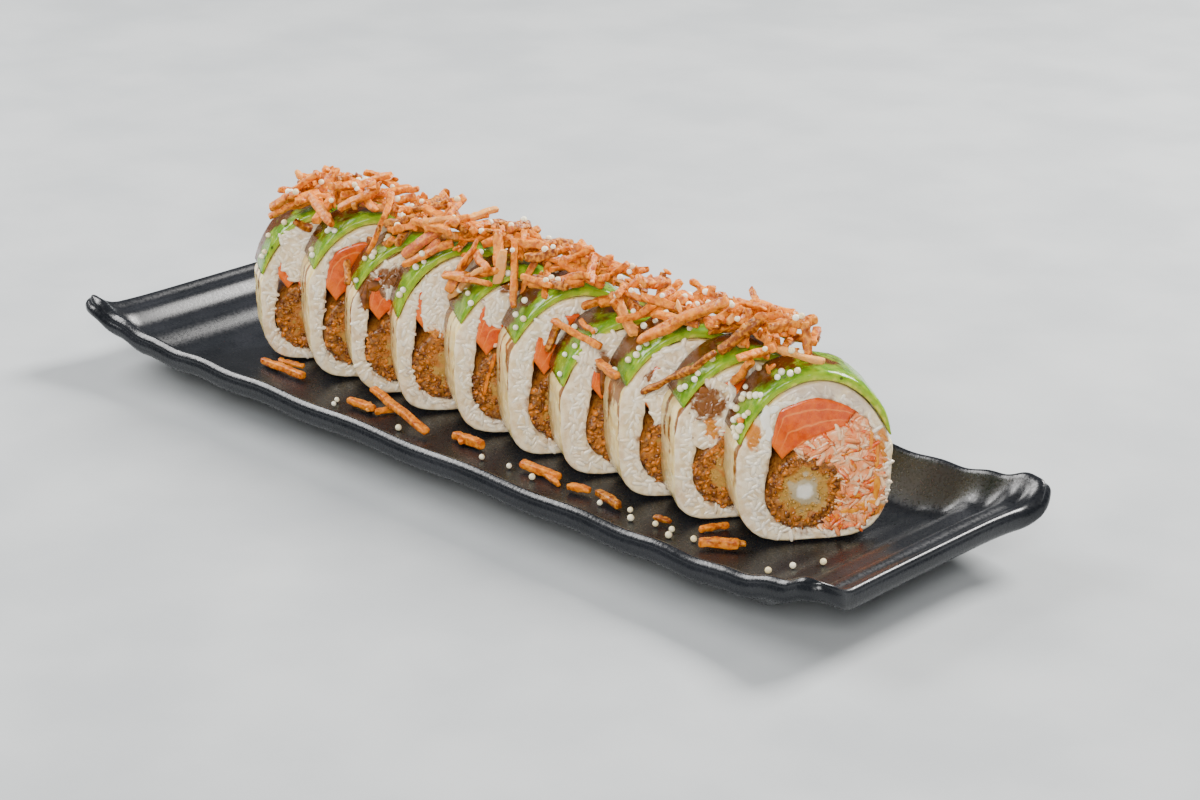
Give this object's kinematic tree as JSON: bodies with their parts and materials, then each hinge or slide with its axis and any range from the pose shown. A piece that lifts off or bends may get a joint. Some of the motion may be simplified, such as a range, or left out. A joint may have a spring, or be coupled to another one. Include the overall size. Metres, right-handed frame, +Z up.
{
  "type": "uramaki roll on a serving dish",
  "caption": "Sliced inside-out sushi roll with avocado, salmon, crab and fried prawn, topped with fried crisps, on a long black dish with wavy ends.",
  "frame": {"origin": "on the table under the middle of the dish", "axes": "+X along the dish towards the end slice whose cut face shows, +Y across the dish, +Z up"},
  "size_m": [0.3318, 0.1036, 0.075],
  "materials": {
    "dish": "black melamine, satin with a fine pebble",
    "rice": "moist cooked rice in a thin pale yellow wrapper",
    "avocado": "moist, green to yellow-green",
    "salmon": "moist raw fish with pale marbling",
    "crab": "moist pink and white shreds",
    "prawn": "brown fried crumb round pale flesh",
    "crisp": "dry fried sticks and white rice pearls"
  },
  "bodies": {
    "root": {"dish": "dish", "rice_01": "rice", "rice_02": "rice", "rice_03": "rice", "rice_04": "rice", "rice_05": "rice", "rice_06": "rice", "rice_07": "rice", "rice_08": "rice", "rice_09": "rice", "rice_10": "rice", "avocado_01": "avocado", "avocado_02": "avocado", "avocado_03": "avocado", "avocado_04": "avocado", "avocado_05": "avocado", "avocado_06": "avocado", "avocado_07": "avocado", "avocado_08": "avocado", "avocado_09": "avocado", "avocado_10": "avocado", "salmon_01": "salmon", "salmon_02": "salmon", "salmon_03": "salmon", "salmon_04": "salmon", "salmon_05": "salmon", "salmon_06": "salmon", "salmon_07": "salmon", "salmon_08": "salmon", "salmon_09": "salmon", "salmon_10": "salmon", "crab_01": "crab", "crab_02": "crab", "crab_03": "crab", "crab_04": "crab", "crab_05": "crab", "crab_06": "crab", "crab_07": "crab", "crab_08": "crab", "crab_09": "crab", "crab_10": "crab", "prawn_01": "prawn", "prawn_02": "prawn", "prawn_03": "prawn", "prawn_04": "prawn", "prawn_05": "prawn", "prawn_06": "prawn", "prawn_07": "prawn", "prawn_08": "prawn", "prawn_09": "prawn", "prawn_10": "prawn", "crisp_heap": "crisp", "fallen_crisp_1": "crisp", "fallen_crisp_2": "crisp", "fallen_crisp_3": "crisp", "fallen_crisp_4": "crisp", "fallen_crisp_5": "crisp", "fallen_crisp_6": "crisp", "fallen_crisp_7": "crisp", "fallen_crisp_8": "crisp"}
  },
  "joints": []
}
